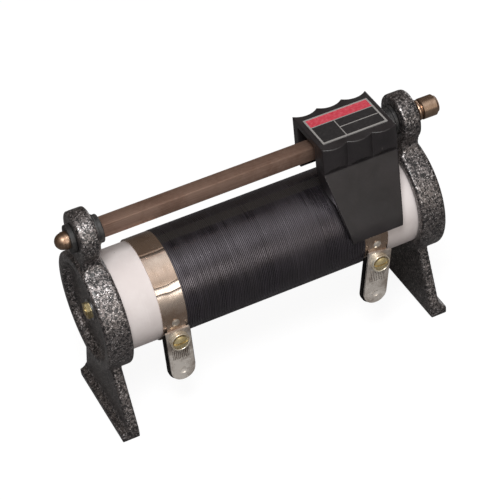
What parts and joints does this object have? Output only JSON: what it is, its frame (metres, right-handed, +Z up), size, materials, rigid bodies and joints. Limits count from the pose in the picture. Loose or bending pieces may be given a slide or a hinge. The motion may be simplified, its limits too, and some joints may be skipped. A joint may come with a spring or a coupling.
{
  "type": "tubular slide rheostat",
  "caption": "Wire-wound ceramic tube between two cast end brackets, with a sliding contact on a square rod above it and screw terminals on its bands.",
  "frame": {"origin": "middle of the footprint on the table, under the middle of the overall length", "axes": "+X along the tube towards the terminal knob, -Y the front with the terminals, +Z up"},
  "size_m": [0.2726, 0.083, 0.167],
  "materials": {
    "hammertone": "black and silver hammertone enamel on a casting",
    "porcelain": "unglazed white",
    "oxidised_wire": "black oxidised resistance wire",
    "fibre": "pressed fibre",
    "nickel": "bright nickel plate",
    "brass": "bright",
    "tarnished_brass": "brown, brushed",
    "black_fibre": "dull black insulation",
    "phenolic": "black phenolic moulding",
    "zinc_steel": "zinc plated",
    "label_paint": "printed plate",
    "carbon": "pressed carbon"
  },
  "bodies": {
    "frame": {"bracket_left": "hammertone", "bracket_right": "hammertone", "ceramic_tube": "porcelain", "resistance_winding": "oxidised_wire", "tube_gasket_left": "fibre", "tube_gasket_right": "fibre", "tie_rod": "brass", "tie_washers": "zinc_steel", "tie_nut_left": "brass", "tie_nut_right": "brass", "terminal_band_left": "nickel", "terminal_band_right": "nickel", "band_rivets": "nickel", "terminal_lug_left": "nickel", "terminal_lug_right": "nickel", "lug_backing_left": "zinc_steel", "lug_backing_right": "zinc_steel", "cup_washer_left": "nickel", "cup_washer_right": "nickel", "slider_rod": "tarnished_brass", "rod_bush_left_inner": "black_fibre", "rod_bush_right_inner": "black_fibre", "rod_bush_left_outer": "black_fibre", "rod_bush_right_outer": "black_fibre", "rod_dome_nut": "tarnished_brass"},
    "slider": {"slider_body": "phenolic", "slider_label": "label_paint", "slider_guide": "brass", "guide_screws": "zinc_steel", "contact_spring": "brass", "spring_rivets": "brass"},
    "brush": {"contact_brush": "carbon"},
    "screw_left": {"terminal_screw_left": "brass"},
    "screw_right": {"terminal_screw_right": "brass"},
    "knob": {"rod_terminal_knob": "tarnished_brass"}
  },
  "joints": [
    {"name": "slider_slide", "type": "slide", "parent": "frame", "child": "slider", "axis": [1, 0, 0], "range_m": [-0.147, 0.002]},
    {"name": "brush_lift", "type": "slide", "parent": "slider", "child": "brush", "axis": [0, 0, 1], "range_m": [0, 0.0015], "stiffness_N_per_m": 800, "springref_m": -0.003, "deforming": ["contact_spring"]},
    {"name": "terminal_screw_left_turn", "type": "hinge", "parent": "frame", "child": "screw_left", "pos_m": [-0.0772, -0.03745, 0.069], "axis": [0, -1, 0], "continuous": true},
    {"name": "terminal_screw_right_turn", "type": "hinge", "parent": "frame", "child": "screw_right", "pos_m": [0.0698, -0.03745, 0.069], "axis": [0, -1, 0], "continuous": true},
    {"name": "rod_knob_turn", "type": "hinge", "parent": "frame", "child": "knob", "pos_m": [0.1268, 0, 0.15], "axis": [1, 0, 0], "continuous": true}
  ]
}
